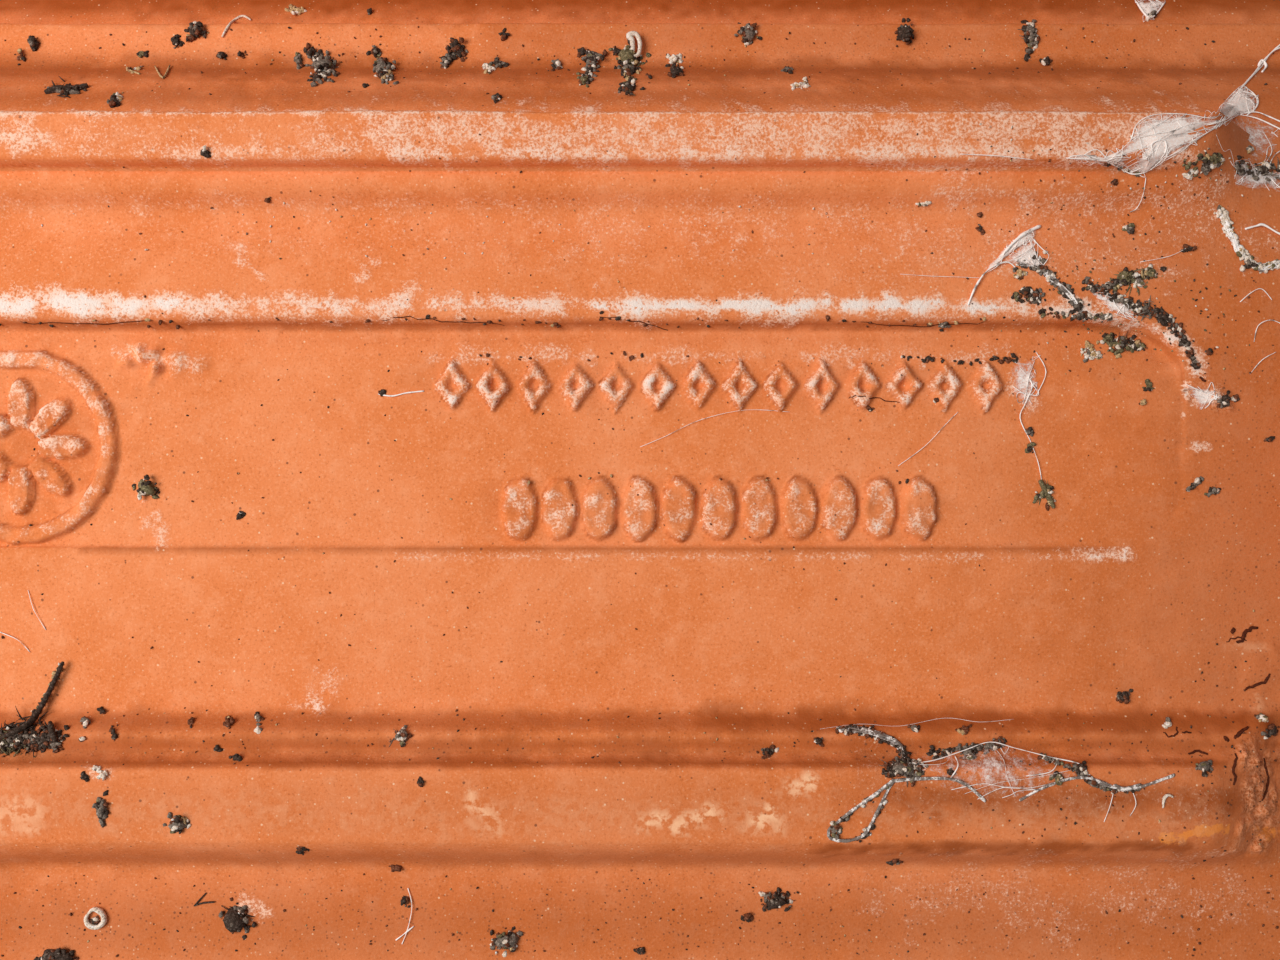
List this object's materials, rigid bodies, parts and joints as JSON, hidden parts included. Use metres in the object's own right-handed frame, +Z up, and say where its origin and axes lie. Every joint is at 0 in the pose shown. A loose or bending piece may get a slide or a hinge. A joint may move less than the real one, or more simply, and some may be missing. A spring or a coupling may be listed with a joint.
{
  "type": "clay roof tile",
  "caption": "Interlocking hollow pantile in fired clay, with a trough, a roll, side and head locks and a nib, lying with its underside up.",
  "frame": {"origin": "middle of the footprint, on the floor that the tile rests on", "axes": "+X along the tile towards its head, +Y across it from the side lock to the roll, +Z up, out of the underside"},
  "size_m": [0.42, 0.2608, 0.0592],
  "materials": {
    "fired_clay": "unglazed matte orange fired clay, finely pitted, with white salt bloom on the rib edges",
    "dirt": "matte dark crumbs, moss and twigs",
    "cobweb": "pale dusty cobweb threads"
  },
  "bodies": {
    "root": {"clay_roof_tile": "fired_clay"}
  },
  "joints": []
}
